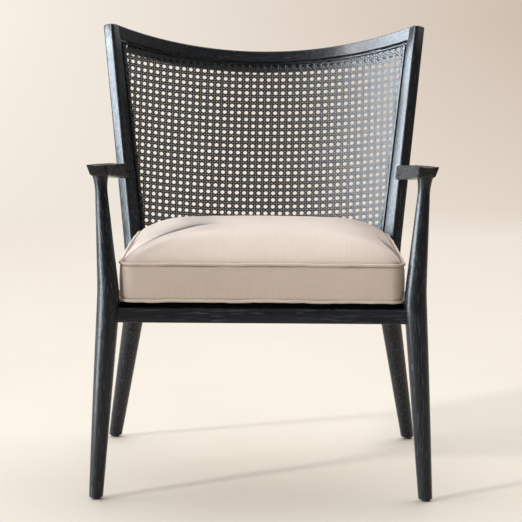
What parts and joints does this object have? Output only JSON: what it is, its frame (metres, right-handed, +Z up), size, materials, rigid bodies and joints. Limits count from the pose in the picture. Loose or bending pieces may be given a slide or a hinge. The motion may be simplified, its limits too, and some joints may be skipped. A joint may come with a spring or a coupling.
{
  "type": "cane accent chair",
  "caption": "Low armchair with a dark wood frame, a concave woven cane back, paddle arms on turned legs and a loose corded seat cushion that lifts off.",
  "frame": {"origin": "on the floor, in the middle of the rectangle that the chair covers", "axes": "+X to the right as seen from the front, -Y the way the sitter faces, +Z up"},
  "size_m": [0.6878, 0.6853, 0.9103],
  "materials": {
    "wood_black": "black stained open-grain hardwood, satin",
    "cane_black": "woven rattan cane, stained black",
    "plain_wood": "bare plywood and beech",
    "steel": "zinc plated steel",
    "grey_felt": "grey needled felt",
    "black_cloth": "matt black cloth",
    "black_nylon": "moulded nylon",
    "foam": "open-cell foam",
    "fibre": "polyester fibre batting",
    "linen": "beige plain-weave linen",
    "linen_cord": "cord covered in the same linen",
    "zip_black": "moulded zip teeth on tape",
    "zip_metal": "nickel plated slider"
  },
  "bodies": {
    "frame": {"front_leg_left": "wood_black", "front_leg_right": "wood_black", "back_post_left": "wood_black", "back_post_right": "wood_black", "front_rail": "wood_black", "rear_rail": "wood_black", "side_rail_left": "wood_black", "side_rail_right": "wood_black", "top_rail": "wood_black", "lower_back_rail": "wood_black", "arm_left": "wood_black", "arm_right": "wood_black", "cane_stile_left": "wood_black", "cane_stile_right": "wood_black", "cane_head": "wood_black", "cane_sill": "wood_black", "spline_left": "wood_black", "spline_right": "wood_black", "spline_top": "wood_black", "spline_bottom": "wood_black", "cane_uprights": "cane_black", "cane_courses": "cane_black", "corner_block_front_left": "plain_wood", "corner_block_front_right": "plain_wood", "corner_block_rear_left": "plain_wood", "corner_block_rear_right": "plain_wood", "seat_panel": "plain_wood", "rail_dowels": "plain_wood", "back_rail_dowels": "plain_wood", "arm_dowels": "plain_wood", "corner_block_screws": "steel", "deck_screws": "steel", "deck_staples": "steel", "glide_nails": "steel", "deck_pad": "grey_felt", "deck_cover": "black_cloth", "glide_front_left": "black_nylon", "glide_front_right": "black_nylon", "glide_rear_left": "black_nylon", "glide_rear_right": "black_nylon"},
    "cushion": {"cushion_core": "foam", "cushion_wrap": "fibre", "cushion_cover": "linen", "welt_top": "linen_cord", "welt_bottom": "linen_cord", "zip_chain": "zip_black"},
    "zip_slider": {"zip_slider": "zip_metal"}
  },
  "joints": [
    {"name": "cushion_lift", "type": "slide", "parent": "frame", "child": "cushion", "axis": [0, 0, 1], "range_m": [0, 0.3]},
    {"name": "zip_run", "type": "hinge", "parent": "cushion", "child": "zip_slider", "pos_m": [0, -0.24769, 0.4276], "axis": [0, 0, 1], "range_deg": [0, 40.7]}
  ]
}
